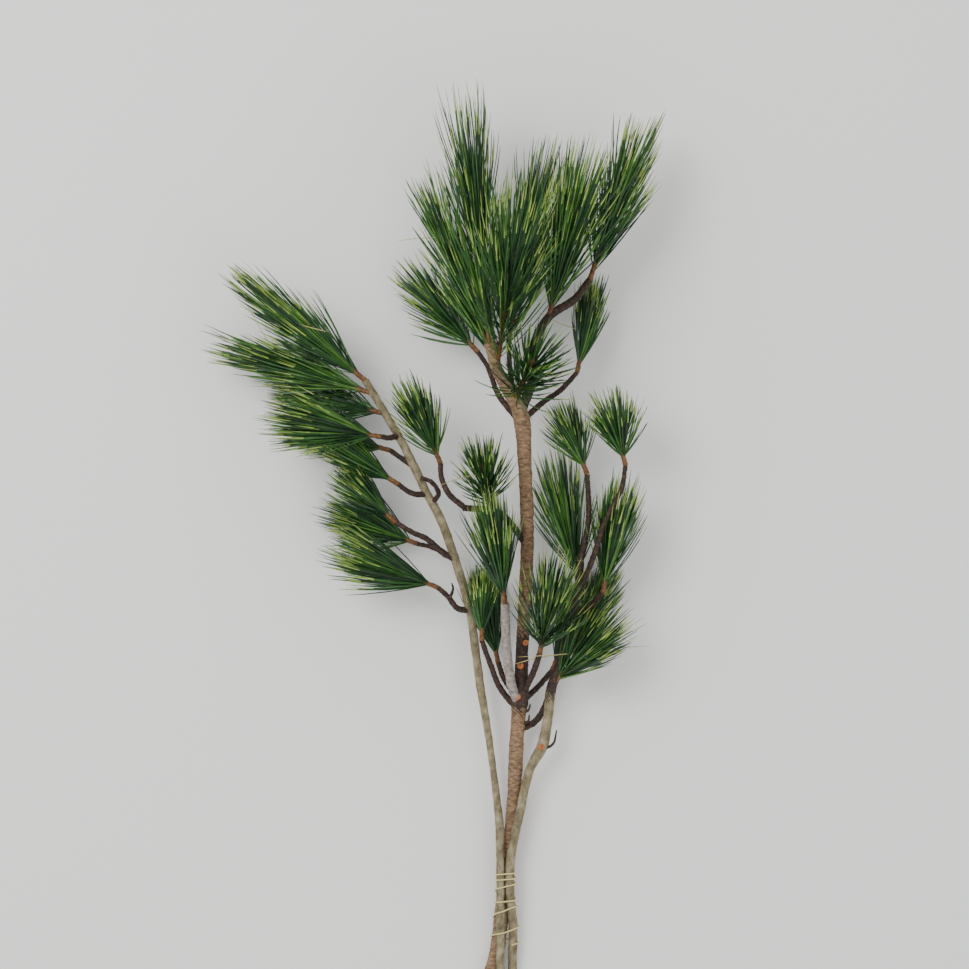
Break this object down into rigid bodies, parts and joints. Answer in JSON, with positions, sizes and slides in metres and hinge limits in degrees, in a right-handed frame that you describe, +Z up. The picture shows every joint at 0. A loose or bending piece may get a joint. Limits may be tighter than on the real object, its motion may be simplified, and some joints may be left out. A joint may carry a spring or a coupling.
{
  "type": "tied bunch of cut japanese black pine branches",
  "caption": "Bunch of cut black pine branches with stiff needle tufts, tied with thin string near the cut ends and lying flat.",
  "frame": {"origin": "middle of the footprint, on the surface that the bunch lies on", "axes": "+Y along the bunch from the cut ends to the tips, +X to the right seen from above, +Z up"},
  "size_m": [0.4258, 0.8111, 0.2086],
  "materials": {
    "bark_middle": "light brown bark, fine cross ridges",
    "bark_side": "grey-brown bark",
    "bark_dark": "dark rough twig bark",
    "bark_grey": "pale grey scaly bark",
    "needle": "waxy green needles",
    "twine": "dry straw string"
  },
  "bodies": {
    "root": {"bough_grey": "bark_grey", "bough_hook": "bark_dark", "bough_inner": "bark_dark", "bough_inner_end": "bark_dark", "bough_left_back": "bark_dark", "bough_left_curl": "bark_dark", "bough_left_fork": "bark_dark", "bough_left_low": "bark_dark", "bough_left_lowest": "bark_dark", "bough_left_middle": "bark_dark", "bough_left_upper": "bark_dark", "bough_low_back": "bark_dark", "bough_low_front": "bark_dark", "bough_low_left": "bark_dark", "bough_low_right": "bark_dark", "bough_right_middle": "bark_dark", "bough_right_upper": "bark_dark", "bough_right_upper_left": "bark_dark", "bough_top_back": "bark_dark", "bough_top_left": "bark_dark", "bough_top_right": "bark_dark", "bough_top_right_low": "bark_dark", "stem_left": "bark_side", "stem_middle": "bark_middle", "stem_right": "bark_side", "tuft_crown_back": "needle", "tuft_crown_front": "needle", "tuft_crown_inner": "needle", "tuft_crown_left": "needle", "tuft_crown_left_low": "needle", "tuft_crown_right": "needle", "tuft_crown_right_low": "needle", "tuft_inner_up": "needle", "tuft_leader": "needle", "tuft_left_back": "needle", "tuft_left_inner": "needle", "tuft_left_low": "needle", "tuft_left_low_upper": "needle", "tuft_left_lowest": "needle", "tuft_left_middle": "needle", "tuft_left_middle_low": "needle", "tuft_left_tip": "needle", "tuft_left_under": "needle", "tuft_left_upper": "needle", "tuft_low_behind": "needle", "tuft_low_front": "needle", "tuft_low_left": "needle", "tuft_low_right": "needle", "tuft_middle_back": "needle", "tuft_middle_shoot": "needle", "tuft_right_inner": "needle", "tuft_right_low": "needle", "tuft_right_middle": "needle", "tuft_right_upper": "needle", "tuft_right_upper_left": "needle", "tuft_whorl_front": "needle", "twine": "twine"}
  },
  "joints": []
}
